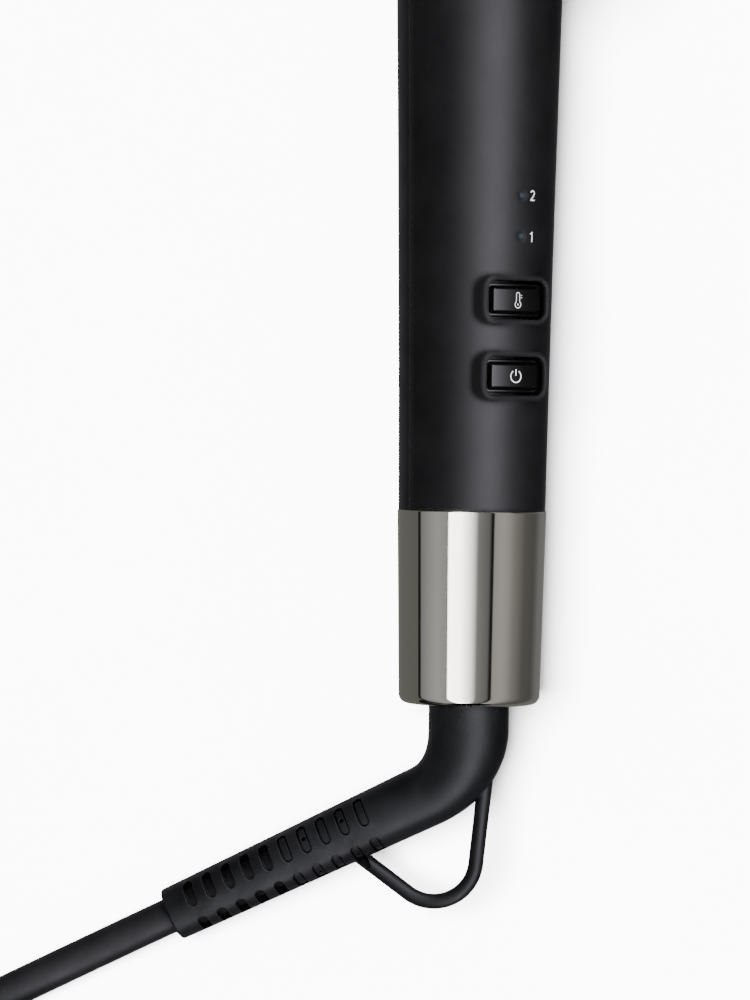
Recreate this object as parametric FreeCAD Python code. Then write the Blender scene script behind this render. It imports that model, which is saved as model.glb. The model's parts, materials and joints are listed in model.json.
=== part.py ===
"""Curling iron with a spring clip, a fold-out stand and a swivelling mains cord, as separate pieces.

The iron lies on a table: the metal tail collar rests along its side, the heat guard on one of its two
anti-roll flats, and the folded stand reaches almost to the table in front of the guard. Millimetres, +Z up.
The origin is the middle of the flat that the guard rests on, and the barrel runs towards +Y.

Most pieces are modelled upright in the iron's own frame (+Y from the tail to the tip, +Z through the
buttons, y = 0 at the tail collar's end face) and then laid on the table by LAID. The cord, its strain
relief and its plug are modelled where they lie.
"""
import FreeCAD, Part
import math
import os

V = FreeCAD.Vector
X_AXIS = V(1, 0, 0)
Y_AXIS = V(0, 1, 0)
Z_AXIS = V(0, 0, 1)

# ---- driving dimensions, iron's own frame ----
COLLAR_LENGTH = 40.5
COLLAR_R_TAIL = 14.75
COLLAR_R_FRONT = 15.58
COLLAR_BORE_R = 13.0
COLLAR_LIP = 1.8
COLLAR_CORNER_R = 1.9
NECK_HOLE_R = 8.75

HANDLE_START = COLLAR_LENGTH
HANDLE_END = 172.0
HANDLE_R_TAIL = 15.37
HANDLE_R_MIDDLE = 16.42
HANDLE_R_FRONT = 17.86
WALL = 2.0
SPIGOT_START = 33.0
SPIGOT_R = 12.9
SPIGOT_BORE_R = 11.2
CAVITY_START = 43.0
SEAM_CHAMFER = 0.25

TRIM_END = 174.6
TRIM_R = 18.15
GUARD_END = 192.0
GUARD_R = 19.3
GUARD_MIDDLE = (TRIM_END + GUARD_END) / 2
GUARD_SPIGOT_START = 163.0

BARREL_R = 12.5
BARREL_BORE_R = 11.2
BARREL_START = 160.0
BARREL_END = 330.0
TIP_END = 354.0

PAD_LENGTH = 15.6          # across the handle
PAD_WIDTH = 9.9            # along the handle
PAD_CORNER_R = 2.9
PAD_RISE = 0.3             # above the handle's own radius at the pad's middle
POCKET_LENGTH = 14.3
POCKET_WIDTH = 8.0
POCKET_CORNER_R = 1.9
BUTTON_LENGTH = 13.4
BUTTON_WIDTH = 6.9
BUTTON_TOP_LENGTH = 11.0
BUTTON_TOP_WIDTH = 4.4
BUTTON_SINK = 0.8          # face below the pad's rim
BUTTON_BEVEL = 0.9
BUTTON_TRAVEL = 0.8
BUTTONS = {"temperature": 84.3, "power": 68.6}
FLANGE_Z = 9.6             # underside of a button's flange
FLANGE_THICK = 1.0

BOARD_BOTTOM = 2.4
BOARD_THICK = 1.6
BOARD_TOP = BOARD_BOTTOM + BOARD_THICK
BOARD_START = 55.0
BOARD_END = 150.0
BOARD_HALF_WIDTH = 10.5
BOARD_POSTS = (58.5, 140.0)
LAMP_Y = (97.4, 105.9)
LAMP_X = 0.45
LAMP_R = 0.55
SHELL_SCREW_Y = (48.5, 155.0)
SCREW_R = 1.45
SCREW_HEAD_R = 2.7

CLIP_PIVOT_Y = 199.0
CLIP_PIVOT_Z = 17.0
CLIP_PIN_R = 1.3
CLIP_GAP = 0.35
CLIP_THICK = 0.8
CLIP_START = 206.5
CLIP_END = 324.0
CLIP_HALF_ANGLE = 52.0
CLIP_TIP_HALF_ANGLE = 34.0
ARM_THICK = 1.2
RIVET_Y = (209.6, 214.2)
RIVET_R = 0.9
STRAP_Z = 14.27            # middle of the arm where it lies on the clip plate
ARM_HALF = (3.4, 4.6, 6.9, 6.9)
LEVER_START = (195.5, 21.6)
LEVER_END = 153.4
LEVER_SLOPE = 9.4

STAND_PIN_Y = 195.2
STAND_PIN_Z = -15.7
STAND_PIN_R = 1.1
STAND_KNUCKLE_R = 1.9
STAND_THICK = 1.2
STAND_END = 237.0

# ---- how the iron lies ----
ROLL = 32.0
PITCH = math.degrees(math.atan((COLLAR_R_FRONT - COLLAR_R_TAIL) / COLLAR_LENGTH))
GUARD_FLAT = COLLAR_R_TAIL + GUARD_MIDDLE * math.tan(math.radians(PITCH))
COS_P = math.cos(math.radians(PITCH))
SIN_P = math.sin(math.radians(PITCH))
TAIL = V(0, -(GUARD_MIDDLE * COS_P + GUARD_FLAT * SIN_P), GUARD_FLAT * COS_P - GUARD_MIDDLE * SIN_P)
LAID = FreeCAD.Placement(TAIL, FreeCAD.Rotation(X_AXIS, PITCH) * FreeCAD.Rotation(Y_AXIS, ROLL))
AXIS = LAID.Rotation.multVec(Y_AXIS)

# ---- cord side, table frame ----
NECK_R = 8.42
NECK_INSIDE = 6.0          # how far the neck reaches into the collar
ELBOW_R = 16.0
ELBOW_CORNER = TAIL - AXIS * 15.3
RELIEF_END = TAIL + V(-61.8, -45.9, 6.1 - TAIL.z)
ELBOW_RADII = (8.42, 8.2, 7.65, 7.0, 6.62)
RELIEF_END_R = 5.7
LOOP_R = 1.6
LOOP_BEND_R = 9.0
SLOT_PITCH = 4.47
SLOT_WIDTH = 2.25
SLOT_COUNT = 10
SLOT_SHALLOW = 5
PIN_HOLES = (6, 8)         # slots with a round hole, counted from the relief's end
SLOT_DEPTH = 0.95
DEEP_SLOT_FLOOR_R = 4.5    # leaves a web over the cord, so that the four rows stay apart
ISLAND_SINK = 0.42         # raised floor inside a shallow slot, below the surface
ISLAND_MARGIN = 0.42
SLOT_HALF_ANGLE = 31.5
SLOT_FIRST = 6.2           # last slot's middle, from the relief's end
ROW_ANGLES = (-31.0, 59.0, 149.0, 239.0)
CORD_INSIDE = SLOT_FIRST + SLOT_PITCH * 9      # how far the cord reaches into the relief

CORD_D = 7.5
CORD_R = CORD_D / 2
TURN_GAP = 7.7
COIL_OUTER_TURN_R = 48.8
COIL_TURNS_ACROSS = 2
COIL_LAYERS = 3
TIE_ANGLE = 205.0
COIL_HEIGHT = 2 * CORD_R + TURN_GAP * (COIL_LAYERS - 1) + 0.1
COIL_R = COIL_OUTER_TURN_R + CORD_R
COIL_HOLE_R = COIL_OUTER_TURN_R - TURN_GAP * (COIL_TURNS_ACROSS - 1) - CORD_R
CORD_SLOPE = (RELIEF_END - ELBOW_CORNER).normalize()
CORD_HEADING = V(CORD_SLOPE.x, CORD_SLOPE.y, 0).normalize()
CORD_REST = CORD_R + 0.1
TOUCHDOWN = RELIEF_END + CORD_SLOPE * 18.0
LEAD_BEND = V(RELIEF_END.x, RELIEF_END.y, CORD_REST) + CORD_HEADING * 52.0
LEAD_HEADING = FreeCAD.Rotation(Z_AXIS, 3.0).multVec(CORD_HEADING)
LEAD_END = LEAD_BEND + LEAD_HEADING * 33.0
COIL_CENTRE = V(LEAD_END.x, LEAD_END.y, 0) + V(-LEAD_HEADING.y, LEAD_HEADING.x, 0) * COIL_OUTER_TURN_R
CORD_LEAD = (RELIEF_END, TOUCHDOWN, LEAD_BEND, LEAD_END)
PLUG_START = V(-60.0, COIL_CENTRE.y - 43.8, 7.0)
CORD_TAIL = (
    COIL_CENTRE + V(8.5, -48.1, CORD_REST + TURN_GAP),
    COIL_CENTRE + V(23.0, -46.3, 11.2),
    PLUG_START - V(14.0, 0, 0),
    PLUG_START,
)

PLUG_RELIEF = 24.0
PLUG_BODY = 35.0
PLUG_HALF_WIDTH = 13.0
PLUG_HALF_HEIGHT = 6.95
PIN_R = 2.0
PIN_LENGTH = 19.0
PIN_SLEEVE = 10.0
PIN_SPACING = 18.6


# ---- building blocks ----
def box(x0, x1, y0, y1, z0, z1):
    return Part.makeBox(x1 - x0, y1 - y0, z1 - z0, V(x0, y0, z0))


def rod_y(radius, y0, y1, x=0.0, z=0.0):
    return Part.makeCylinder(radius, y1 - y0, V(x, y0, z), Y_AXIS)


def rod_x(radius, x0, x1, y, z):
    return Part.makeCylinder(radius, x1 - x0, V(x0, y, z), X_AXIS)


def rod_z(radius, z0, z1, x, y):
    return Part.makeCylinder(radius, z1 - z0, V(x, y, z0), Z_AXIS)


def line(a, b):
    return Part.LineSegment(a, b).toShape()


def arc(a, b, c):
    return Part.Arc(a, b, c).toShape()


def polygon_face(points):
    return Part.Face(Part.makePolygon(list(points) + [points[0]]))


def turned(profile, degrees=360.0):
    """Solid of revolution about the iron's axis from (radius, y) points."""
    return polygon_face([V(r, y, 0) for r, y in profile]).revolve(V(0, 0, 0), Y_AXIS, degrees)


def tube_y(outer, inner, y0, y1):
    return turned([(inner, y0), (outer, y0), (outer, y1), (inner, y1)])


def rounded_wire(length, width, corner, z, x=0.0, y=0.0):
    """Closed outline with round corners in a plane of constant z."""
    a, b, r = length / 2, width / 2, corner
    k = r * (1 - math.sqrt(0.5))
    edges = []
    for sx, sy in ((1, 1), (-1, 1), (-1, -1), (1, -1)):
        start, end = V(x + sx * a, y + sy * (b - r), z), V(x + sx * (a - r), y + sy * b, z)
        edges.append(arc(start, V(x + sx * (a - k), y + sy * (b - k), z), end))
    for sign in (1, -1):
        edges.append(line(V(x - (a - r), y + sign * b, z), V(x + (a - r), y + sign * b, z)))
        edges.append(line(V(x + sign * a, y - (b - r), z), V(x + sign * a, y + (b - r), z)))
    return Part.Wire(Part.__sortEdges__(edges))


def rounded_block(length, width, corner, z0, z1, x=0.0, y=0.0):
    face = Part.Face(rounded_wire(length, width, corner, z0, x, y))
    return face.extrude(V(0, 0, z1 - z0))


def edges_where(shape, test):
    return [e for e in shape.Edges if test(e)]


def at_z(z, tolerance=0.01):
    """Test for edges that lie in the plane of that z."""
    return lambda e: all(abs(v.Point.z - z) < tolerance for v in e.Vertexes)


def bent_path(points, radii):
    """Wire of straight runs joined by tangent arcs, one radius for each inner point."""
    edges, start = [], points[0]
    for i, radius in enumerate(radii, 1):
        into = (points[i] - points[i - 1]).normalize()
        out = (points[i + 1] - points[i]).normalize()
        turn = into.getAngle(out)
        reach = radius * math.tan(turn / 2)
        a, b = points[i] - into * reach, points[i] + out * reach
        inward = (out - into).normalize()
        middle = points[i] + inward * (radius / math.cos(turn / 2) - radius)
        edges += [line(start, a), arc(a, middle, b)]
        start = b
    return Part.Wire(edges + [line(start, points[-1])])


def swept(path, radius):
    """Round bar along a wire."""
    first = path.OrderedEdges[0]
    start = first.valueAt(first.FirstParameter)
    ring = Part.Wire(Part.makeCircle(radius, start, first.tangentAt(first.FirstParameter)))
    return path.makePipeShell([ring], True, False)


def cord_radii(points):
    """The largest arcs that the runs allow: 0.45 of the shorter run over the tangent of half the turn."""
    radii = []
    for a, b, c in zip(points, points[1:], points[2:]):
        turn = (b - a).getAngle(c - b)
        radii.append(0.45 * min((b - a).Length, (c - b).Length) / math.tan(turn / 2))
    return radii


def save(name, shape, laid=True):
    piece = shape.copy()
    if laid:
        piece.Placement = LAID.multiply(piece.Placement)
    solids = piece.Solids
    assert solids and all(s.isValid() and s.Volume > 0 for s in solids), name
    (solids[0] if len(solids) == 1 else Part.makeCompound(solids)).exportStep("parts/" + name + ".step")


# ---- handle ----
def handle_radius(y):
    """The handle's outside: a quadratic curve through its tail, middle and front radii."""
    control = 2 * HANDLE_R_MIDDLE - (HANDLE_R_TAIL + HANDLE_R_FRONT) / 2
    u = (y - HANDLE_START) / (HANDLE_END - HANDLE_START)
    return (1 - u) ** 2 * HANDLE_R_TAIL + 2 * u * (1 - u) * control + u ** 2 * HANDLE_R_FRONT


def handle_curve(y0, y1, inset):
    """The handle's outside from y0 to y1, moved towards the axis by inset."""
    middle = (y0 + y1) / 2
    a, m, b = (handle_radius(y) - inset for y in (y0, middle, y1))
    curve = Part.BezierCurve()
    curve.setPoles([V(a, y0, 0), V(2 * m - (a + b) / 2, middle, 0), V(b, y1, 0)])
    return curve.toShape()


def handle_solid(y0, y1, inset):
    """Solid of revolution inside the handle's outside."""
    curve = handle_curve(y0, y1, inset)
    a, b = handle_radius(y0) - inset, handle_radius(y1) - inset
    corners = [V(b, y1, 0), V(0, y1, 0), V(0, y0, 0), V(a, y0, 0)]
    edges = [curve] + [line(p, q) for p, q in zip(corners, corners[1:])]
    return Part.Face(Part.Wire(edges)).revolve(V(0, 0, 0), Y_AXIS, 360)


def half_shell(upper):
    """Half of the handle's tube, with half of the spigot that goes into the tail collar."""
    inner_r = handle_radius(CAVITY_START) - WALL
    corners = [
        V(inner_r, CAVITY_START, 0),
        V(SPIGOT_BORE_R, CAVITY_START, 0),
        V(SPIGOT_BORE_R, SPIGOT_START, 0),
        V(SPIGOT_R, SPIGOT_START, 0),
        V(SPIGOT_R, HANDLE_START, 0),
        V(HANDLE_R_TAIL, HANDLE_START, 0),
    ]
    edges = [handle_curve(HANDLE_START, HANDLE_END, 0)]
    edges.append(line(V(HANDLE_R_FRONT, HANDLE_END, 0), V(HANDLE_R_FRONT - WALL, HANDLE_END, 0)))
    edges.append(handle_curve(CAVITY_START, HANDLE_END, WALL))
    edges += [line(a, b) for a, b in zip(corners, corners[1:])]
    face = Part.Face(Part.Wire(Part.__sortEdges__(edges)))
    half = face.revolve(V(0, 0, 0), Y_AXIS, -180 if upper else 180)
    outer = edges_where(half, lambda e: at_z(0)(e) and all(abs(v.Point.x) > 15.2 for v in e.Vertexes)
                        and abs(e.Vertexes[0].Point.y - e.Vertexes[1].Point.y) > 50)
    return half.makeChamfer(SEAM_CHAMFER, outer)


def pad_top(y):
    return handle_radius(y) + PAD_RISE


def button_pad(y):
    """Raised frame round a button: sloping sides and a rounded rim."""
    top = pad_top(y)
    skirt = 1.1
    foot = rounded_wire(PAD_LENGTH + 2 * skirt, PAD_WIDTH + 2 * skirt, PAD_CORNER_R + skirt, top - 2.6, 0, y)
    rim = rounded_wire(PAD_LENGTH, PAD_WIDTH, PAD_CORNER_R, top, 0, y)
    pad = Part.makeLoft([foot, rim], True, True)
    pad = pad.makeFillet(0.55, edges_where(pad, at_z(top)))
    inside = Part.Face(foot).extrude(V(0, 0, 8.6 - top))
    return pad.fuse(inside)


def upper_shell():
    shell = half_shell(True)
    cavity = handle_solid(CAVITY_START, HANDLE_END, WALL)
    for y in BUTTONS.values():
        shell = shell.fuse(button_pad(y).cut(cavity))
    for y in BOARD_POSTS:
        post = rod_z(2.4, BOARD_TOP, handle_radius(y) - WALL / 2, 0, y)
        shell = shell.fuse(post).cut(rod_z(1.0, BOARD_TOP - 1, BOARD_TOP + 7, 0, y))
    for y in SHELL_SCREW_Y:
        post = rod_z(3.1, 0, handle_radius(y) - WALL / 2, 0, y)
        shell = shell.fuse(post).cut(rod_z(SCREW_R, -1, 8, 0, y))
    for y in BUTTONS.values():
        pocket = rounded_block(POCKET_LENGTH, POCKET_WIDTH, POCKET_CORNER_R, 5, pad_top(y) + 1, 0, y)
        shell = shell.cut(pocket)
        rim = edges_where(shell, lambda e: at_z(pad_top(y))(e)
                          and abs(e.CenterOfMass.y - y) < POCKET_WIDTH / 2 + 0.01
                          and abs(e.CenterOfMass.x) < POCKET_LENGTH / 2 + 0.01)
        shell = shell.makeFillet(0.3, rim)
    for y in LAMP_Y:
        shell = shell.cut(rod_z(LAMP_R, 8, 20, LAMP_X, y))
    return shell.removeSplitter()


def lower_shell():
    shell = half_shell(False)
    for y in SHELL_SCREW_Y:
        seat = -(handle_radius(y) - 2.6)
        post = rod_z(4.4, -(handle_radius(y) - WALL / 2), 0, 0, y)
        shell = shell.fuse(post)
        shell = shell.cut(rod_z(SCREW_HEAD_R + 0.3, -25, seat, 0, y))
        shell = shell.cut(rod_z(SCREW_R + 0.1, -25, 1, 0, y))
    return shell.removeSplitter()


def shell_screws():
    screws = []
    for y in SHELL_SCREW_Y:
        seat = -(handle_radius(y) - 2.6)
        head = rod_z(SCREW_HEAD_R, seat - 1.8, seat, 0, y)
        head = head.makeFillet(0.5, edges_where(head, at_z(seat - 1.8)))
        cross = box(-1.7, 1.7, y - 0.35, y + 0.35, seat - 2, seat - 0.7)
        cross = cross.fuse(box(-0.35, 0.35, y - 1.7, y + 1.7, seat - 2, seat - 0.7))
        screws.append(head.fuse(rod_z(SCREW_R, seat, 6.5, 0, y)).cut(cross))
    return Part.makeCompound(screws)


def button(y):
    """Cap with a bevelled face and a flange that keeps it inside the shell."""
    face = pad_top(y) - BUTTON_SINK
    shoulder = face - BUTTON_BEVEL
    base = rounded_block(BUTTON_LENGTH, BUTTON_WIDTH, 1.3, FLANGE_Z, shoulder, 0, y)
    base = base.makeFillet(0.3, edges_where(base, at_z(shoulder)))
    foot = rounded_wire(BUTTON_LENGTH - 1.0, BUTTON_WIDTH - 1.0, 0.7, shoulder, 0, y)
    crown = rounded_wire(BUTTON_TOP_LENGTH, BUTTON_TOP_WIDTH, 0.45, face, 0, y)
    plateau = Part.makeLoft([foot, crown], True, True)
    plateau = plateau.makeFillet(0.2, edges_where(plateau, at_z(face)))
    flange = rounded_block(POCKET_LENGTH + 1.2, POCKET_WIDTH + 1.0, 1.5, FLANGE_Z, FLANGE_Z + FLANGE_THICK, 0, y)
    return base.fuse(plateau).fuse(flange)


# ---- electronics ----
def control_board():
    board = box(-BOARD_HALF_WIDTH, BOARD_HALF_WIDTH, BOARD_START, BOARD_END, BOARD_BOTTOM, BOARD_TOP)
    for y in BOARD_POSTS:
        board = board.cut(rod_z(1.25, 0, 10, 0, y))
    return board.makeFillet(1.0, edges_where(board, lambda e: e.Length < BOARD_THICK + 0.1
                                             and abs(abs(e.CenterOfMass.x) - BOARD_HALF_WIDTH) < 0.01))


def board_screws():
    screws = []
    for y in BOARD_POSTS:
        head = rod_z(2.1, BOARD_BOTTOM - 1.4, BOARD_BOTTOM, 0, y)
        head = head.makeFillet(0.4, edges_where(head, at_z(BOARD_BOTTOM - 1.4)))
        slot = box(-2.5, 2.5, y - 0.3, y + 0.3, BOARD_BOTTOM - 2, BOARD_BOTTOM - 0.9)
        screws.append(head.fuse(rod_z(1.0, BOARD_BOTTOM, BOARD_TOP + 5.5, 0, y)).cut(slot))
    return Part.makeCompound(screws)


def tact_switch(y):
    body = box(-3, 3, y - 3, y + 3, BOARD_TOP, BOARD_TOP + 3.4)
    body = body.makeChamfer(0.3, edges_where(body, at_z(BOARD_TOP + 3.4)))
    return body.cut(rod_z(1.8, BOARD_TOP + 1.6, BOARD_TOP + 5, 0, y))


def plunger(y):
    return rod_z(1.7, BOARD_TOP + 2.6, FLANGE_Z, 0, y)


def indicator_lamps():
    x0, x1 = LAMP_X - 0.8, LAMP_X + 0.8
    return Part.makeCompound([box(x0, x1, y - 0.4, y + 0.4, BOARD_TOP, BOARD_TOP + 0.6) for y in LAMP_Y])


def light_pipes():
    """Clear rods from the lamps to the handle's surface, each with a collar under the shell."""
    outside = handle_solid(HANDLE_START, HANDLE_END, 0.03)
    pipes = []
    for y in LAMP_Y:
        pipe = rod_z(LAMP_R, BOARD_TOP + 0.7, 20, LAMP_X, y)
        collar = rod_z(1.5, 12.6, 13.4, LAMP_X, y)
        pipes.append(pipe.fuse(collar).common(outside))
    return Part.makeCompound(pipes)


def microcontroller():
    body = box(-2.2, 2.2, 116, 121.2, BOARD_TOP + 0.2, BOARD_TOP + 1.7)
    body = body.makeChamfer(0.25, edges_where(body, at_z(BOARD_TOP + 1.7)))
    for i in range(4):
        for side in (-1, 1):
            y = 116.7 + i * 1.27
            x0, x1 = sorted((side * 2.0, side * 3.3))
            body = body.fuse(box(x0, x1, y - 0.2, y + 0.2, BOARD_TOP, BOARD_TOP + 0.4))
    return body


def suppression_capacitor():
    body = box(-6.5, 6.5, 66, 73.5, BOARD_BOTTOM - 9.2, BOARD_BOTTOM - 0.2)
    body = body.makeFillet(0.7, body.Edges)
    for x in (-5, 5):
        body = body.fuse(rod_z(0.35, BOARD_BOTTOM - 1, BOARD_BOTTOM, x, 69.75))
    return body


def triac():
    body = box(-5, 5, 82, 86.5, BOARD_BOTTOM - 11, BOARD_BOTTOM - 2.5)
    body = body.fuse(box(-5, 5, 86.5, 87.8, BOARD_BOTTOM - 14, BOARD_BOTTOM - 2.5))
    body = body.cut(Part.makeCylinder(0.9, 4, V(0, 85.5, BOARD_BOTTOM - 12.6), Y_AXIS))
    for x in (-2.54, 0, 2.54):
        body = body.fuse(rod_z(0.4, BOARD_BOTTOM - 3, BOARD_BOTTOM, x, 84.5))
    return body


def terminal_block():
    block = box(-7, 7, 128, 134, BOARD_BOTTOM - 8, BOARD_BOTTOM)
    for x in (-3.5, 3.5):
        block = block.cut(box(x - 1.7, x + 1.7, 125, 137, BOARD_BOTTOM - 6.6, BOARD_BOTTOM - 3.2))
    return block


def wire_pair(ends, radius):
    """Two insulated wires, each through its own points."""
    return Part.makeCompound([swept(bent_path(points, cord_radii(points)), radius) for points in ends])


def mains_wires():
    """From the contact brushes along the lower shell to the board."""
    ends = []
    for side in (-1, 1):
        ends.append([V(side * 2.75, 16.8 - side * 3, 10.2), V(side * 2.75, 26, 10.2), V(side * 3.6, 34, 9.4),
                     V(side * 6.6, 44, 5.0), V(side * 7.8, 53, -1.2), V(side * 8.6, 62, -2.6),
                     V(side * 8.8, 77, -2.6), V(side * 8.8, 77, BOARD_BOTTOM - 0.02)])
    return wire_pair(ends, 0.8)


def heater_wires():
    """From the terminal block to the heating element's electrodes."""
    ends = []
    for side in (-1, 1):
        ends.append([V(side * 3.5, 134.2, -2.4), V(side * 3.9, 143, -3.6), V(side * 5.4, 153, -2.6),
                     V(side * 6.2, 166, 0.4 * side), V(side * 6.4, 180, 1.2 * side),
                     V(side * 6.6, 195.8, 1.55 * side)])
    return wire_pair(ends, 0.8)


# ---- barrel and heater ----
def heater_shoe(sign):
    shoe = rod_y(BARREL_BORE_R - 0.08, 197, 318)
    keep = box(-12, 12, 190, 320, 2.3, 12) if sign > 0 else box(-12, 12, 190, 320, -12, -2.3)
    shoe = shoe.common(keep)
    for x in (-3.6, 3.6):
        shoe = shoe.cut(rod_y(2.1, 190, 320, x, sign * 6.3))
    return shoe


def ptc_plates():
    return Part.makeCompound([box(-8, 8, y, y + 35, -1.35, 1.35) for y in (202, 240, 278)])


def electrodes():
    plates = []
    for sign in (-1, 1):
        z0, z1 = sorted((sign * 1.35, sign * 1.75))
        x0, x1 = sorted((sign * 5.4, sign * 7.8))
        plates.append(box(-8.5, 8.5, 199, 316, z0, z1).fuse(box(x0, x1, 195.8, 199, z0, z1)))
    return Part.makeCompound(plates)


def insulating_films():
    films = []
    for sign in (-1, 1):
        z0, z1 = sorted((sign * 1.75, sign * 2.3))
        films.append(box(-9.6, 9.6, 197.5, 317.5, z0, z1))
    return Part.makeCompound(films)


def thermal_fuse():
    fuse = rod_y(1.7, 180, 190, 0, 6.6)
    fuse = fuse.makeFillet(0.6, edges_where(fuse, lambda e: e.Length > 5 and len(e.Vertexes) == 1))
    return fuse.fuse(rod_y(0.35, 172, 196.8, 0, 6.6))


def thermistor():
    bead = Part.makeSphere(1.3, V(0, 194.5, -6.4))
    for x in (-0.6, 0.6):
        bead = bead.fuse(rod_y(0.3, 166, 194.5, x, -6.4))
    return bead


def heat_guard():
    """Ring round the barrel's root with two anti-roll flats and the stand's hinge lugs."""
    ring = turned([(BARREL_R + 0.03, GUARD_SPIGOT_START), (15.6, GUARD_SPIGOT_START), (15.6, TRIM_END),
                   (GUARD_R, TRIM_END), (GUARD_R, GUARD_END), (BARREL_R + 0.03, GUARD_END)])
    rims = edges_where(ring, lambda e: len(e.Vertexes) == 1 and e.Length > 100
                       and abs(abs(e.Vertexes[0].Point.x) - GUARD_R) < 0.01)
    ring = ring.makeFillet(1.3, rims)
    for side in (1, -1):
        below = box(-30, 30, -20, 20, -20, 0)
        tilted = FreeCAD.Placement(V(0, GUARD_MIDDLE, -GUARD_FLAT), FreeCAD.Rotation(X_AXIS, -PITCH))
        below.Placement = FreeCAD.Placement(V(0, 0, 0), FreeCAD.Rotation(Y_AXIS, -side * ROLL)) * tilted
        ring = ring.cut(below)
    for side in (1, -1):
        x0, x1 = sorted((side * 4.5, side * 6.3))
        lug = rod_x(STAND_KNUCKLE_R, x0, x1, STAND_PIN_Y, STAND_PIN_Z)
        lug = lug.fuse(box(x0, x1, GUARD_END - 1, STAND_PIN_Y, STAND_PIN_Z - 1.9, STAND_PIN_Z + 1.9))
        ring = ring.fuse(lug.cut(rod_x(STAND_PIN_R, x0 - 1, x1 + 1, STAND_PIN_Y, STAND_PIN_Z)))
    return ring.removeSplitter()


def barrel():
    tube = tube_y(BARREL_R, BARREL_BORE_R, BARREL_START, BARREL_END)
    return tube.makeChamfer(0.25, edges_where(tube, lambda e: len(e.Vertexes) == 1
                                              and abs(e.Vertexes[0].Point.y - BARREL_END) < 0.01))


def tip_insert():
    """Ceramic plug in the barrel's end; the tip cap's screw holds on to it."""
    return turned([(2.2, 319), (BARREL_BORE_R - 0.02, 319), (BARREL_BORE_R - 0.02, BARREL_END - 0.4),
                   (BARREL_BORE_R - 1.5, BARREL_END - 0.4), (BARREL_BORE_R - 1.5, 338),
                   (1.3, 338), (1.3, 326), (2.2, 326)])


def tip_cap():
    """Cool grip tip: a flange behind a waist, a rounded nose and a recess for the screw."""
    flange_r, waist_r, nose_r = 13.9, 12.1, 12.7
    points = [V(9.72, BARREL_END, 0), V(flange_r - 0.6, BARREL_END, 0)]
    edges = [line(points[0], points[1])]
    edges.append(arc(points[1], V(flange_r - 0.18, BARREL_END + 0.18, 0), V(flange_r, BARREL_END + 0.6, 0)))
    edges.append(line(V(flange_r, BARREL_END + 0.6, 0), V(flange_r, BARREL_END + 2.2, 0)))
    waist = V(waist_r, BARREL_END + 8, 0)
    edges.append(arc(V(flange_r, BARREL_END + 2.2, 0), V(waist_r + 0.4, BARREL_END + 4.6, 0), waist))
    edges.append(line(waist, V(nose_r, TIP_END - 6, 0)))
    edges.append(arc(V(nose_r, TIP_END - 6, 0), V(nose_r - 2.0, TIP_END - 1.7, 0), V(7.2, TIP_END, 0)))
    inner = [V(7.2, TIP_END, 0), V(4.2, TIP_END, 0), V(4.2, TIP_END - 2.2, 0), V(3.0, TIP_END - 2.2, 0),
             V(3.0, TIP_END - 5, 0), V(1.6, TIP_END - 5, 0), V(1.6, TIP_END - 7, 0), V(8.6, TIP_END - 7, 0),
             V(9.72, TIP_END - 12, 0), V(9.72, BARREL_END, 0)]
    edges += [line(a, b) for a, b in zip(inner, inner[1:])]
    return Part.Face(Part.Wire(edges)).revolve(V(0, 0, 0), Y_AXIS, 360)


def tip_screw():
    head = rod_y(2.7, TIP_END - 5, TIP_END - 3.2)
    slot = box(-2.2, 2.2, TIP_END - 3.9, TIP_END - 3, -0.35, 0.35)
    slot = slot.fuse(box(-0.35, 0.35, TIP_END - 3.9, TIP_END - 3, -2.2, 2.2))
    return head.fuse(rod_y(1.3, 330, TIP_END - 5)).cut(slot)


def tip_cover():
    disc = rod_y(4.15, TIP_END - 2.2, TIP_END - 0.2)
    return disc.makeFillet(0.5, edges_where(disc, lambda e: len(e.Vertexes) == 1
                                            and abs(e.Vertexes[0].Point.y - (TIP_END - 0.2)) < 0.01))


# ---- clip ----
def clip_plate():
    """Curved sheet over the barrel, narrower towards a rounded tip."""
    inner_r = BARREL_R + CLIP_GAP
    outer_r = inner_r + CLIP_THICK
    sheet = tube_y(outer_r, inner_r, CLIP_START, CLIP_END)
    wide = (inner_r + 2) * math.sin(math.radians(CLIP_HALF_ANGLE))
    narrow = (inner_r + 2) * math.sin(math.radians(CLIP_TIP_HALF_ANGLE))
    nose = CLIP_END - narrow
    outline = [
        line(V(-wide, CLIP_START + 3, 0), V(-narrow, nose, 0)),
        arc(V(-narrow, nose, 0), V(0, CLIP_END, 0), V(narrow, nose, 0)),
        line(V(narrow, nose, 0), V(wide, CLIP_START + 3, 0)),
        arc(V(wide, CLIP_START + 3, 0), V(wide - 1, CLIP_START + 0.9, 0), V(wide - 3, CLIP_START, 0)),
        line(V(wide - 3, CLIP_START, 0), V(-wide + 3, CLIP_START, 0)),
        arc(V(-wide + 3, CLIP_START, 0), V(-wide + 1, CLIP_START + 0.9, 0), V(-wide, CLIP_START + 3, 0)),
    ]
    keep = Part.Face(Part.Wire(Part.__sortEdges__(outline))).extrude(V(0, 0, 30))
    sheet = sheet.common(keep)
    for y in RIVET_Y:
        sheet = sheet.cut(rod_z(RIVET_R, 8, 20, 0, y))
    return sheet



def lever_z(y):
    """Height of the lever's middle plane."""
    return LEVER_START[1] + (LEVER_START[0] - y) * math.tan(math.radians(LEVER_SLOPE))


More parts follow.
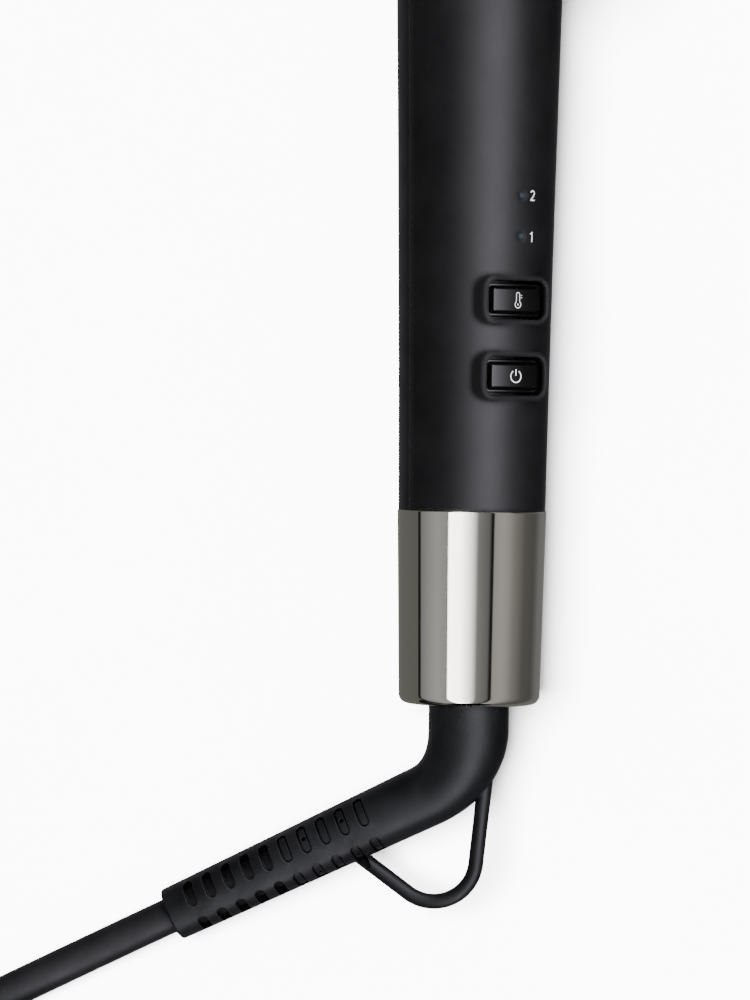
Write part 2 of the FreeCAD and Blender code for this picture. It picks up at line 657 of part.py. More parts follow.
def clip_arm():
    """Bent strip from the clip over the pivot to the lever, with an ear each side on the pivot pin."""
    centre = [V(0, 217, STRAP_Z), V(0, 206.2, STRAP_Z), V(0, 201.3, 20.3), V(0, *LEVER_START),
              V(0, LEVER_END, lever_z(LEVER_END))]
    strips = []
    for a, b, half in zip(centre, centre[1:], ARM_HALF):
        run = (b - a).normalize()
        off = V(0, -run.z, run.y) * (ARM_THICK / 2)
        face = polygon_face([V(-half, p.y, p.z) for p in (a + off, b + off, b - off, a - off)])
        strips.append(face.extrude(V(2 * half, 0, 0)))
    for p, half in zip(centre[1:-1], ARM_HALF):
        strips.append(rod_x(ARM_THICK / 2, -half, half, p.y, p.z))
    arm = strips[0].multiFuse(strips[1:])
    for side in (1, -1):
        x0, x1 = sorted((side * 5.9, side * 6.9))
        ear = rod_x(3.0, x0, x1, CLIP_PIVOT_Y, CLIP_PIVOT_Z)
        ear = ear.fuse(box(x0, x1, CLIP_PIVOT_Y - 3.0, CLIP_PIVOT_Y + 2.6, CLIP_PIVOT_Z, 20.6))
        arm = arm.fuse(ear)
    arm = arm.cut(rod_x(CLIP_PIN_R + 0.05, -10, 10, CLIP_PIVOT_Y, CLIP_PIVOT_Z))
    for y in RIVET_Y:
        arm = arm.cut(rod_z(RIVET_R, 8, 20, 0, y))
    return arm.removeSplitter()


def clip_rivets():
    rivets = []
    for y in RIVET_Y:
        rivet = rod_z(RIVET_R, BARREL_R + CLIP_GAP + 0.15, 15.0, 0, y)
        head = rod_z(1.5, STRAP_Z + ARM_THICK / 2, 15.5, 0, y)
        rivets.append(rivet.fuse(head.makeFillet(0.4, edges_where(head, at_z(15.5)))))
    return Part.makeCompound(rivets)


def clip_bracket():
    """Band round the barrel's root with two ears that hold the pivot pin."""
    band = tube_y(BARREL_R + 0.85, BARREL_R + 0.03, 194.4, 204)
    for side in (1, -1):
        x0, x1 = sorted((side * 4.4, side * 5.6))
        ear = rod_x(2.6, x0, x1, CLIP_PIVOT_Y, CLIP_PIVOT_Z)
        ear = ear.fuse(box(x0, x1, CLIP_PIVOT_Y - 2.6, CLIP_PIVOT_Y + 2.6, 11.6, CLIP_PIVOT_Z))
        ear = ear.cut(rod_y(BARREL_R + 0.4, 190, 210))
        band = band.fuse(ear)
    return band.cut(rod_x(CLIP_PIN_R, -10, 10, CLIP_PIVOT_Y, CLIP_PIVOT_Z))


def clip_pin():
    pin = rod_x(CLIP_PIN_R, -7.3, 7.3, CLIP_PIVOT_Y, CLIP_PIVOT_Z)
    for side in (1, -1):
        x0, x1 = sorted((side * 7.3, side * 8.1))
        head = rod_x(2.1, x0, x1, CLIP_PIVOT_Y, CLIP_PIVOT_Z)
        rim = edges_where(head, lambda e: len(e.Vertexes) == 1 and abs(abs(e.Vertexes[0].Point.x) - 8.1) < 0.01)
        pin = pin.fuse(head.makeFillet(0.35, rim))
    return pin


def clip_spring():
    """Torsion spring round the pivot pin: one leg on the band, the other under the lever."""
    wire_r, mean_r, pitch, turns = 0.4, 2.05, 0.95, 5.5
    half = pitch * turns / 2
    helix = Part.makeHelix(pitch, 2 * half, mean_r)
    helix.Placement = FreeCAD.Placement(V(-half, CLIP_PIVOT_Y, CLIP_PIVOT_Z), FreeCAD.Rotation(Y_AXIS, 90))
    path = Part.Wire(helix.Edges)
    first = path.OrderedEdges[0]
    start = first.valueAt(first.FirstParameter)
    ring = Part.Wire(Part.makeCircle(wire_r, start, first.tangentAt(first.FirstParameter)))
    spring = path.makePipeShell([ring], True, True)
    legs = ((V(-half, CLIP_PIVOT_Y, CLIP_PIVOT_Z - mean_r), V(-half, 195.0, 13.6)),
            (V(half, CLIP_PIVOT_Y, CLIP_PIVOT_Z + mean_r), V(half, 194.4, 20.6)))
    for a, b in legs:
        spring = spring.fuse(Part.makeSphere(wire_r, a))
        spring = spring.fuse(Part.makeCylinder(wire_r, (b - a).Length, a, b - a))
    return spring


def thumb_pad():
    """Grip on the lever: follows the arm's slope, with a shallow thumb hollow and ribs."""
    length, half, thick = 37.0, 8.3, 3.0
    pad = rounded_block(2 * half, length, 5.0, -1.0, thick, 0, 0)
    pad = pad.makeFillet(0.8, edges_where(pad, at_z(thick)))
    hollow = Part.makeSphere(46, V(0, -3, 46 + thick - 1.1))
    pad = pad.cut(hollow)
    pad = pad.cut(box(-7.0, 7.0, 1.4 - length / 2, 30, -2, 0.0))
    for i in range(5):
        half_rib = 4.5 - abs(i - 2) * 0.6
        pad = pad.fuse(rod_x(0.5, -half_rib, half_rib, -8.2 + i * 2.6, thick - 1.0))
    lift = (ARM_THICK / 2 + 0.01) / math.cos(math.radians(LEVER_SLOPE))
    pad.Placement = FreeCAD.Placement(V(0, 170.0, lever_z(170.0) + lift), FreeCAD.Rotation(X_AXIS, -LEVER_SLOPE))
    return pad


# ---- stand ----
def stand_plate():
    plate_z = STAND_PIN_Z
    """Flat foot on a knuckle, with a window and a turned-up lip to open it by."""
    wide, narrow = 10.4, 8.0
    y0 = STAND_PIN_Y + 2.2
    side = [(4.2, STAND_PIN_Y), (4.2, y0), (narrow - 2, y0), (narrow, y0 + 2), (wide, STAND_END - 6),
            (wide, STAND_END - 2.5), (wide - 2.5, STAND_END)]
    outline = [V(x, y, 0) for x, y in side] + [V(-x, y, 0) for x, y in side[::-1]]
    plate = polygon_face(outline).extrude(V(0, 0, STAND_THICK))
    plate.translate(V(0, 0, plate_z - STAND_THICK / 2))
    window = rounded_block(5.6, 18, 2.7, plate_z - 3, plate_z + 3, 0, 217)
    plate = plate.cut(window)
    lip = box(-wide + 2.6, wide - 2.6, STAND_END - STAND_THICK, STAND_END, plate_z, plate_z + 2.6)
    lip = lip.makeFillet(0.5, edges_where(lip, at_z(plate_z + 2.6)))
    knuckle = rod_x(STAND_KNUCKLE_R, -4.2, 4.2, STAND_PIN_Y, STAND_PIN_Z)
    plate = plate.fuse(lip).fuse(knuckle).cut(rod_x(STAND_PIN_R + 0.05, -6, 6, STAND_PIN_Y, STAND_PIN_Z))
    return plate.removeSplitter()


def stand_pin():
    return rod_x(STAND_PIN_R, -6.3, 6.3, STAND_PIN_Y, STAND_PIN_Z)


# ---- tail collar and swivel ----
def tail_collar():
    """Tapered metal sleeve with an inturned lip round the neck's hole."""
    r = COLLAR_CORNER_R
    side = COLLAR_R_TAIL + (COLLAR_R_FRONT - COLLAR_R_TAIL) * r / COLLAR_LENGTH
    k = r * (1 - math.sqrt(0.5))
    edges = [line(V(NECK_HOLE_R, 0, 0), V(side - r, 0, 0))]
    edges.append(arc(V(side - r, 0, 0), V(side - k, k, 0), V(side, r, 0)))
    edges.append(line(V(side, r, 0), V(COLLAR_R_FRONT, COLLAR_LENGTH, 0)))
    inner = [V(COLLAR_R_FRONT, COLLAR_LENGTH, 0), V(COLLAR_BORE_R, COLLAR_LENGTH, 0),
             V(COLLAR_BORE_R, COLLAR_LIP, 0), V(NECK_HOLE_R, COLLAR_LIP, 0), V(NECK_HOLE_R, 0, 0)]
    edges += [line(a, b) for a, b in zip(inner, inner[1:])]
    collar = Part.Face(Part.Wire(edges)).revolve(V(0, 0, 0), Y_AXIS, 360)
    front = edges_where(collar, lambda e: len(e.Vertexes) == 1 and e.Length > 95
                        and abs(e.Vertexes[0].Point.y - COLLAR_LENGTH) < 0.01)
    return collar.makeFillet(0.3, front)


def swivel_retainer():
    return tube_y(COLLAR_BORE_R - 0.03, NECK_HOLE_R, COLLAR_LIP, 5.8)


def swivel_housing():
    """Bush that carries the swivel's spindle, with a window for the contact brushes."""
    outer = COLLAR_BORE_R - 0.03
    housing = turned([(9.85, 5.8), (outer, 5.8), (outer, 28), (5.65, 28), (5.65, 24.5), (7.4, 24.5),
                      (7.4, 9.3), (9.85, 9.3)])
    housing = housing.cut(box(-2, 2, 11, 23, 5, 14))
    return housing.cut(box(-4.4, 4.4, 11, 29, 8.8, 14))


def swivel_spindle():
    """Hollow spindle with a thrust flange; its stub is moulded into the neck."""
    return turned([(2.4, -6), (4.5, -6), (4.5, NECK_INSIDE), (9.6, NECK_INSIDE), (9.6, 9.0), (5.6, 9.0),
                   (5.6, 29), (2.4, 29)])


def slip_rings():
    return Part.makeCompound([tube_y(6.4, 5.6, y, y + 3.2) for y in (12.2, 18.2)])


def contact_brushes():
    return Part.makeCompound([box(-1.4, 1.4, y + 0.2, y + 3.0, 6.75, 9.4) for y in (12.2, 18.2)])


def brush_springs():
    """Leaf that presses both brushes on the rings and leads to the wires."""
    leaves = []
    for y in (12.2, 18.2):
        strip = box(-1.2, 1.2, y + 0.6, y + 2.6, 9.4, 9.7)
        for x in (-1.05, 1.05):
            strip = strip.fuse(box(x - 0.15, x + 0.15, y + 0.6, y + 2.6, 9.7, 10.9))
        leaves.append(strip.fuse(box(-1.9, 1.9, y + 0.6, y + 2.6, 10.9, 11.2)))
    return Part.makeCompound(leaves)


# ---- strain relief, in the table frame ----
def relief_frame():
    """Directions into and out of the elbow, the angle between them, and where its arc starts and ends."""
    into = AXIS * -1
    out = (RELIEF_END - ELBOW_CORNER).normalize()
    turn = into.getAngle(out)
    reach = ELBOW_R * math.tan(turn / 2)
    return into, out, turn, ELBOW_CORNER - into * reach, ELBOW_CORNER + out * reach


def disc_wire(radius, centre, normal, start):
    """Circle whose seam points along start."""
    placed = FreeCAD.Placement(centre, FreeCAD.Rotation(start, normal.cross(start), normal, "ZXY"))
    ring = Part.Wire(Part.makeCircle(radius))
    ring.Placement = placed
    return ring


def strain_relief():
    """Bent neck, tapered slotted tail and hanging loop, moulded in one."""
    into, out, turn, bend_start, bend_end = relief_frame()
    plane_normal = into.cross(out).normalize()
    centre = bend_start + plane_normal.cross(into) * ELBOW_R
    root = TAIL + AXIS * NECK_INSIDE
    neck = Part.makeCylinder(NECK_R, (bend_start - root).Length, root, into)
    sections = []
    for i, radius in enumerate(ELBOW_RADII):
        turned_by = FreeCAD.Rotation(plane_normal, math.degrees(turn) * i / (len(ELBOW_RADII) - 1))
        at = centre + turned_by.multVec(bend_start - centre)
        sections.append(disc_wire(radius, at, turned_by.multVec(into), plane_normal))
    elbow = Part.makeLoft(sections, True, False)
    tail_length = (RELIEF_END - bend_end).Length
    tail = Part.makeCone(ELBOW_RADII[-1], RELIEF_END_R, tail_length, bend_end, out)
    tail = tail.makeFillet(0.5, edges_where(tail, lambda e: len(e.Vertexes) == 1
                                            and (e.Vertexes[0].Point - RELIEF_END).Length < RELIEF_END_R + 0.01))
    body = neck.fuse(elbow).fuse(tail).fuse(hanging_loop(plane_normal))
    body = body.cut(Part.makeCylinder(4.5, 12, TAIL + AXIS * NECK_INSIDE, into))
    body = body.cut(Part.makeCylinder(CORD_R + 0.05, CORD_INSIDE, RELIEF_END, out * -1))
    return body.cut(Part.makeCompound(relief_slots(out, tail_length)))


def hanging_loop(plane_normal):
    """Closed bar from the outside of the bend to the underside of the tail, in the elbow's plane."""
    def in_plane(dx, dy):
        flat = V(TAIL.x + dx, TAIL.y + dy, 0)
        height = ((ELBOW_CORNER - flat).dot(plane_normal)) / plane_normal.z
        return V(flat.x, flat.y, height)
    points = [in_plane(3.7, -15.9), in_plane(0.4, -49.2), in_plane(-22.8, -32.3)]
    return swept(bent_path(points, [LOOP_BEND_R]), LOOP_R)


def round_ended(length, width, height, placed):
    """Upright block with half-round ends, from the tail's middle out to height."""
    block = rounded_block(length, width, width / 2 - 0.01, 0.5, height)
    block.Placement = placed
    return block


def relief_slots(out, tail_length):
    """Four rows of round-ended slots: shallow with an island by the bend, deep by the end."""
    up = (Z_AXIS - out * out.z).normalize()
    side = up.cross(out)
    cutters = []
    for i in range(SLOT_COUNT):
        back = SLOT_FIRST + SLOT_PITCH * i
        middle = RELIEF_END - out * back
        surface_r = RELIEF_END_R + (ELBOW_RADII[-1] - RELIEF_END_R) * back / tail_length
        shallow = i >= SLOT_COUNT - SLOT_SHALLOW
        floor_r = surface_r - SLOT_DEPTH if shallow else DEEP_SLOT_FLOOR_R
        core = Part.makeCylinder(floor_r, SLOT_WIDTH * 2, middle - out * SLOT_WIDTH, out)
        half_chord = surface_r * math.sin(math.radians(SLOT_HALF_ANGLE))
        for angle in ROW_ANGLES:
            radial = up * math.cos(math.radians(angle)) + side * math.sin(math.radians(angle))
            across = out.cross(radial)
            placed = FreeCAD.Placement(middle, FreeCAD.Rotation(across, out, radial, "ZXY"))
            slot = round_ended(2 * half_chord, SLOT_WIDTH, surface_r + 2, placed).cut(core)
            if shallow:
                island = round_ended(2 * (half_chord - ISLAND_MARGIN), SLOT_WIDTH - 2 * ISLAND_MARGIN,
                                     surface_r + 1, placed)
                top = Part.makeCylinder(surface_r - ISLAND_SINK, SLOT_WIDTH * 2, middle - out * SLOT_WIDTH, out)
                slot = slot.cut(island.common(top))
            cutters.append(slot)
            if i in PIN_HOLES:
                cutters.append(Part.makeCylinder(0.5, 2.6, middle + radial * (floor_r - 1.2), radial))
    return cutters


def inner_cord():
    """The stretch of cord inside the strain relief."""
    _, out, _, _, _ = relief_frame()
    return Part.makeCylinder(CORD_R - 0.05, CORD_INSIDE - 0.1, RELIEF_END, out * -1)


# ---- cord and plug, in the table frame ----
def cord_tube(points):
    radii = cord_radii(points)
    path = bent_path(points, radii)
    tube = swept(path, CORD_R)
    print("cord stretch: radii", [round(r) for r in radii], "length", round(path.Length, 1),
          "volume over section times length", round(tube.Volume / (math.pi * CORD_R ** 2 * path.Length), 4))
    return tube.cut(Part.makeCylinder(COIL_R + 0.02, COIL_HEIGHT + 10, COIL_CENTRE - V(0, 0, 5)))


def cord_coil():
    """Outer shape of the put-away coil: two turns across, three layers high."""
    ring = Part.makeCylinder(COIL_R, COIL_HEIGHT, COIL_CENTRE)
    ring = ring.cut(Part.makeCylinder(COIL_HOLE_R, COIL_HEIGHT, COIL_CENTRE))
    return ring.makeFillet(3.0, edges_where(ring, lambda e: len(e.Vertexes) == 1))


def cord_tie():
    """Strap closed round the coil's bundle, lying on its top and down both of its sides."""
    middle, half = (COIL_R + COIL_HOLE_R) / 2, (COIL_R - COIL_HOLE_R) / 2
    outer = rounded_block(2 * half + 2.6, COIL_HEIGHT + 1.0, 3.4, -5, 5)
    inner = rounded_block(2 * half + 1.0, COIL_HEIGHT + 0.1, 2.6, -6, 6, 0, -0.45)
    strap = outer.cut(inner)
    strap = strap.cut(box(-20, 20, -40, 0.05 - (COIL_HEIGHT + 1.0) / 2, -9, 9))
    turn = FreeCAD.Rotation(Z_AXIS, TIE_ANGLE)
    centre = COIL_CENTRE + turn.multVec(V(middle, 0, 0)) + V(0, 0, (COIL_HEIGHT + 1.0) / 2)
    strap.Placement = FreeCAD.Placement(centre, turn * FreeCAD.Rotation(X_AXIS, 90))
    return strap


def plug_body():
    """Flat two-pin plug: a waisted six-sided grip."""
    x0 = PLUG_START.x + PLUG_RELIEF
    x1 = x0 + PLUG_BODY
    side = [(x0, 6.5), (x0 + 13, 9.5), (x0 + 24, PLUG_HALF_WIDTH), (x1, PLUG_HALF_WIDTH)]
    outline = [V(x, PLUG_START.y - half, 0) for x, half in side]
    outline += [V(x, PLUG_START.y + half, 0) for x, half in side[::-1]]
    body = polygon_face(outline).extrude(V(0, 0, 2 * PLUG_HALF_HEIGHT))
    body.translate(V(0, 0, PLUG_START.z - PLUG_HALF_HEIGHT))
    upright = edges_where(body, lambda e: abs(e.tangentAt(e.FirstParameter).z) > 0.9)
    body = body.makeFillet(2.0, upright)
    flat = edges_where(body, lambda e: abs(abs(e.CenterOfMass.z - PLUG_START.z) - PLUG_HALF_HEIGHT) < 0.01)
    return body.makeFillet(1.4, flat)


def plug_pins(sleeves):
    """The pins' bare ends, or the insulating sleeves at their roots."""
    x1 = PLUG_START.x + PLUG_RELIEF + PLUG_BODY
    pieces = []
    for side in (-1, 1):
        y = PLUG_START.y + side * PIN_SPACING / 2
        if sleeves:
            pieces.append(Part.makeCylinder(PIN_R, PIN_SLEEVE, V(x1, y, PLUG_START.z), X_AXIS))
        else:
            root = V(x1 + PIN_SLEEVE, y, PLUG_START.z)
            pin = Part.makeCylinder(PIN_R, PIN_LENGTH - PIN_SLEEVE, root, X_AXIS)
            end = edges_where(pin, lambda e: len(e.Vertexes) == 1
                              and abs(e.Vertexes[0].Point.x - x1 - PIN_LENGTH) < 0.01)
            pieces.append(pin.makeFillet(1.2, end))
    return Part.makeCompound(pieces)


def plug_relief():
    """Tapered, ribbed sleeve where the cord enters the plug."""
    x0, y, z = PLUG_START.x, PLUG_START.y, PLUG_START.z
    sleeve = Part.makeCone(4.4, 6.2, PLUG_RELIEF, V(x0, y, z), X_AXIS)
    for i in range(5):
        ring = Part.makeTorus(6.9 + 0.26 * i, 1.1, V(x0 + 3.5 + 3.6 * i, y, z), X_AXIS)
        sleeve = sleeve.cut(ring)
    return sleeve


def main():
    os.makedirs("parts", exist_ok=True)
    save("tail_collar", tail_collar())
    save("upper_shell", upper_shell())
    save("lower_shell", lower_shell())
    save("shell_screws", shell_screws())
    save("front_trim", tube_y(TRIM_R, 15.63, HANDLE_END, TRIM_END))
    save("heat_guard", heat_guard())
    save("barrel", barrel())
    save("heater_shoe_upper", heater_shoe(1))
    save("heater_shoe_lower", heater_shoe(-1))
    save("ptc_plates", ptc_plates())
    save("electrodes", electrodes())
    save("insulating_films", insulating_films())
    save("thermal_fuse", thermal_fuse())
    save("thermistor", thermistor())
    save("tip_insert", tip_insert())
    save("tip_cap", tip_cap())
    save("tip_screw", tip_screw())
    save("tip_cover", tip_cover())
    save("clip_plate", clip_plate())
    save("clip_arm", clip_arm())
    save("clip_rivets", clip_rivets())
    save("clip_bracket", clip_bracket())
    save("clip_pin", clip_pin())
    save("clip_spring", clip_spring())
    save("thumb_pad", thumb_pad())
    save("stand_plate", stand_plate())
    save("stand_pin", stand_pin())
    for name, y in BUTTONS.items():
        save(name + "_button", button(y))
        save(name + "_plunger", plunger(y))
        save(name + "_switch", tact_switch(y))
    save("control_board", control_board())
    save("board_screws", board_screws())
    save("indicator_lamps", indicator_lamps())
    save("light_pipes", light_pipes())
    save("microcontroller", microcontroller())
    save("suppression_capacitor", suppression_capacitor())
    save("triac", triac())
    save("terminal_block", terminal_block())
    save("mains_wires", mains_wires())
    save("heater_wires", heater_wires())
    save("swivel_housing", swivel_housing())
    save("swivel_retainer", swivel_retainer())
    save("contact_brushes", contact_brushes())
    save("brush_springs", brush_springs())
    save("swivel_spindle", swivel_spindle())
    save("slip_rings", slip_rings())
    save("strain_relief", strain_relief(), laid=False)
    save("inner_cord", inner_cord(), laid=False)
    save("cord_lead", cord_tube(CORD_LEAD), laid=False)
    save("cord_coil", cord_coil(), laid=False)
    save("cord_tail", cord_tube(CORD_TAIL), laid=False)
    save("cord_tie", cord_tie(), laid=False)
    save("plug_relief", plug_relief(), laid=False)
    save("plug_body", plug_body(), laid=False)
    save("plug_pins", plug_pins(False), laid=False)
    save("plug_pin_sleeves", plug_pins(True), laid=False)


main()
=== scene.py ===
"""Looks of the curling iron: camera, studio, materials, cord, printed marks and the coil's strap.

Lengths are in metres unless a name ends in _MM or _mm. The iron's own frame (x across, y from the tail to
the tip, z through the buttons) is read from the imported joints. The cord's route is in the row frame.
"""
import json
import math

import bpy
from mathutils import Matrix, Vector


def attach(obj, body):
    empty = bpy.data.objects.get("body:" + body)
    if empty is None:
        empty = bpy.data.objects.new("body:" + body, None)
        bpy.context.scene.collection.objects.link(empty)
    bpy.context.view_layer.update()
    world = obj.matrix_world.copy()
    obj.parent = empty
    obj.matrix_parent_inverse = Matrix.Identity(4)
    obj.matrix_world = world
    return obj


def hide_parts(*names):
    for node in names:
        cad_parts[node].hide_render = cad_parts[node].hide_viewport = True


MM = 0.001

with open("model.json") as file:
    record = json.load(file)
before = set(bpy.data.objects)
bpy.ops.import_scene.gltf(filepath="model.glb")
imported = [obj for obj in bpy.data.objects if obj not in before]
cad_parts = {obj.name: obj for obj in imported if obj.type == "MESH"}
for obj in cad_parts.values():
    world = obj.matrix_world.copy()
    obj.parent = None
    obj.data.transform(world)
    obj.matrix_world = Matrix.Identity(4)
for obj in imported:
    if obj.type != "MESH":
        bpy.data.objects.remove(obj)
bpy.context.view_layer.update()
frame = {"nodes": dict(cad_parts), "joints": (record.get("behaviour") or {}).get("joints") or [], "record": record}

joints = {j["name"]: j for j in frame["joints"]}
TAIL = Vector(joints["cord_swivel"]["pos_m"])
AXIS = Vector(joints["cord_swivel"]["axis"]).normalized()
ACROSS = Vector(joints["clip_hinge"]["axis"]).normalized()
OUTWARD = -Vector(joints["power_press"]["axis"]).normalized()

# ---- camera ----
CAMERA_X = -0.0203
CAMERA_AHEAD = 0.0423
CAMERA_HEIGHT = 1.0
CAMERA_TURN = 0.85
LENS_MM = 171.8

# ---- cord: the route's points, then the coil that the loop below winds ----
CORD_D = 0.0075
RELIEF_END = (-0.0618, -0.229541, 0.0061)
LEAD = [RELIEF_END, (-0.077814, -0.237471, 0.003941), (-0.108399, -0.252617, 0.00385),
        (-0.137165, -0.268789, 0.00385)]
TAIL_POINTS = [(-0.10475, -0.359427, 0.01155), (-0.09025, -0.357627, 0.0112), (-0.074, -0.355127, 0.007),
               (-0.06, -0.355127, 0.007)]
COIL_CENTRE = Vector((-0.11325, -0.311327, 0))
TURN_GAP = 0.0077
LAYER_Z = [0.00385 + TURN_GAP * i for i in range(3)]
OUTER_TURN_R = 0.0488
INNER_TURN_R = OUTER_TURN_R - TURN_GAP
COIL_START = 119.35
COIL_STOP = 2080.0
POINTS_PER_TURN = 24
STEP_LENGTH = 34.0         # degrees that the cord takes to move to the next place in the coil
STEPS = (420.0, 746.0, 1072.0, 1398.0, 1740.0)
PLACES = [(OUTER_TURN_R, LAYER_Z[0]), (INNER_TURN_R, LAYER_Z[0]), (INNER_TURN_R, LAYER_Z[1]),
          (INNER_TURN_R, LAYER_Z[2]), (OUTER_TURN_R, LAYER_Z[2]), (OUTER_TURN_R, LAYER_Z[1])]
TIE_ANGLE = 205.0
STRAP_GAP = 0.0006
STRAP_FOOT_Z = 0.0006
STRAP_CORNER_R = 0.0036
STRAP_THICK = 0.0009
STRAP_HALF_WIDTH = 0.0052

# ---- printed marks, in the iron's own frame, and the finishes' details ----
DOME_RADIUS = 0.026        # of the keys' faces, across the handle
ABOVE_IRON_MM = 60
INK_LIFT_MM = 0.02
POWER_KEY_Y_MM = 68.6
TEMPERATURE_KEY_Y_MM = 84.3
DIGITS_X_MM = 3.3
DIGIT_ROWS_MM = (97.4, 105.9)
EDGE_SAMPLES = 6
# Painted shade: recesses within this reach get a colour darkened to this fraction of the dark colour.
PAINTED_SHADE_REACH = 1.6 * MM
PAINTED_SHADE_DARKER = 0.25
# Painted highlight: edges and rims are lightened towards the light colour times this.
EDGE_HIGHLIGHT_LIGHTER = 3.2

# ---- studio: what surfaces reflect, by their angle in degrees from straight up ----
# Each stop is a surface angle, the brightness seen there and its tint.
WARM = (1.0, 0.965, 0.90)
PLAIN = (1.0, 0.995, 0.975)
CREAM = (1.0, 0.985, 0.94)
OLIVE = (1.0, 1.0, 0.90)
COOL = (0.93, 0.92, 1.0)
BANDS = [
    (-90, 0.115, OLIVE), (-46.4, 0.108, OLIVE), (-46.0, 0.012, PLAIN), (-43.6, 0.012, PLAIN),
    (-43.2, 0.18, PLAIN), (-32, 0.31, PLAIN), (-27, 0.345, PLAIN), (-19.4, 0.29, PLAIN),
    (-19.2, 0.06, PLAIN), (-18.5, 0.07, PLAIN), (-18.1, 6.2, CREAM), (-8.5, 5.4, CREAM),
    (-5, 3.3, CREAM), (-1, 1.9, PLAIN), (2, 0.9, PLAIN), (4.4, 0.30, PLAIN),
    (5, 0.20, PLAIN), (9, 0.16, PLAIN), (13.6, 0.12, PLAIN), (15.4, 0.012, PLAIN),
    (17.2, 0.012, PLAIN), (17.6, 0.28, WARM), (20, 0.32, WARM), (25, 0.34, WARM),
    (30, 0.285, WARM), (35, 0.19, WARM), (40, 0.143, WARM), (46, 0.088, WARM),
    (57, 0.073, WARM), (62, 0.10, PLAIN), (67, 0.135, PLAIN), (90, 0.12, PLAIN),
]
SOFT_LIGHT = [
    (-90, 0.36, COOL), (-66, 0.18, COOL), (-56, 0.0, COOL), (-18, 0.0, COOL),
    (-10, 0.5, COOL), (-2, 1.5, COOL), (6, 3.2, COOL), (12, 3.9, COOL),
    (18, 3.4, COOL), (24, 1.5, COOL), (30, 0.35, COOL), (38, 0.05, COOL),
    (50, 0.0, COOL), (66, 0.0, COOL), (76, 0.16, COOL), (90, 0.2, COOL),
]
BRIGHTEST = 6.2
METAL_REFLECTS = 0.55
BANDS_TUBE_R = 0.9
SOFT_TUBE_R = 0.95
WORLD_STRENGTH = 0.86
SUN_FROM = (-0.30, 0.05, 1.0)
SUN_SPREAD = 32            # degrees
SUN_STRENGTH = 40.0
FLOOR_HALF = 12.0
SOFT_SLOTS = ("soft_black", "guard_black", "relief_rubber", "cord_black", "plug", "tie", "button_black")


def iron(x_mm, y_mm, z_mm):
    """A point of the iron's own frame, given in millimetres, in the row frame."""
    return TAIL + ACROSS * (x_mm * MM) + AXIS * (y_mm * MM) + OUTWARD * (z_mm * MM)


def add_mesh(name, verts, faces, smooth=True):
    mesh = bpy.data.meshes.new(name)
    mesh.from_pydata([tuple(v) for v in verts], [], faces)
    mesh.update()
    mesh.polygons.foreach_set("use_smooth", [smooth] * len(mesh.polygons))
    obj = bpy.data.objects.new(name, mesh)
    bpy.context.scene.collection.objects.link(obj)
    return obj


# ---- node helpers ----
class Nodes:
    """A material's node tree with short ways to add nodes, links and constants."""

    def __init__(self, name):
        self.material = bpy.data.materials.new(name)
        self.material.use_nodes = True
        self.tree = self.material.node_tree
        self.shader = self.tree.nodes["Principled BSDF"]

    def add(self, kind, **values):
        node = self.tree.nodes.new(kind)
        for key, value in values.items():
            setattr(node, key, value)
        return node

    def link(self, output, target):
        self.tree.links.new(output, target)

    def coords(self, stretch=(1, 1, 1)):
        """The piece's own coordinates, in metres."""
        source = self.add("ShaderNodeTexCoord")
        mapping = self.add("ShaderNodeMapping")
        mapping.inputs["Scale"].default_value = stretch
        self.link(source.outputs["Object"], mapping.inputs["Vector"])
        return mapping.outputs["Vector"]

    def noise(self, size_mm, stretch=(1, 1, 1), detail=4.0):
        texture = self.add("ShaderNodeTexNoise")
        texture.inputs["Scale"].default_value = 1 / (size_mm * MM)
        texture.inputs["Detail"].default_value = detail
        self.link(self.coords(stretch), texture.inputs["Vector"])
        return texture.outputs["Fac"]

    def cells(self, size_mm):
        texture = self.add("ShaderNodeTexVoronoi")
        texture.inputs["Scale"].default_value = 1 / (size_mm * MM)
        self.link(self.coords(), texture.inputs["Vector"])
        return texture.outputs["Distance"]

    def spread(self, value, low, high, start=0.3, stop=0.7):
        """Maps a pattern's middle range to low ... high."""
        node = self.add("ShaderNodeMapRange")
        node.inputs["From Min"].default_value = start
        node.inputs["From Max"].default_value = stop
        node.inputs["To Min"].default_value = low
        node.inputs["To Max"].default_value = high
        self.link(value, node.inputs["Value"])
        return node.outputs["Result"]

    def mix(self, factor, dark, light):
        """Colour between dark and light, each a colour or another output."""
        node = self.add("ShaderNodeMix", data_type="RGBA")
        self.link(factor, node.inputs[0])
        for socket, colour in ((node.inputs[6], dark), (node.inputs[7], light)):
            if isinstance(colour, tuple):
                socket.default_value = (*colour, 1)
            else:
                self.link(colour, socket)
        return node.outputs[2]

    def bump(self, height, depth_mm, below=None):
        node = self.add("ShaderNodeBump")
        node.inputs["Strength"].default_value = 1.0
        node.inputs["Distance"].default_value = depth_mm * MM
        self.link(height, node.inputs["Height"])
        if below is not None:
            self.link(below, node.inputs["Normal"])
        return node.outputs["Normal"]

    def put(self, **inputs):
        """Sets the shader's sockets: numbers and colours directly, patterns by a link."""
        for key, value in inputs.items():
            socket = self.shader.inputs[key.replace("_", " ")]
            if isinstance(value, tuple):
                socket.default_value = (*value, 1)
            elif isinstance(value, (int, float)):
                socket.default_value = value
            else:
                self.link(value, socket)
        return self.material


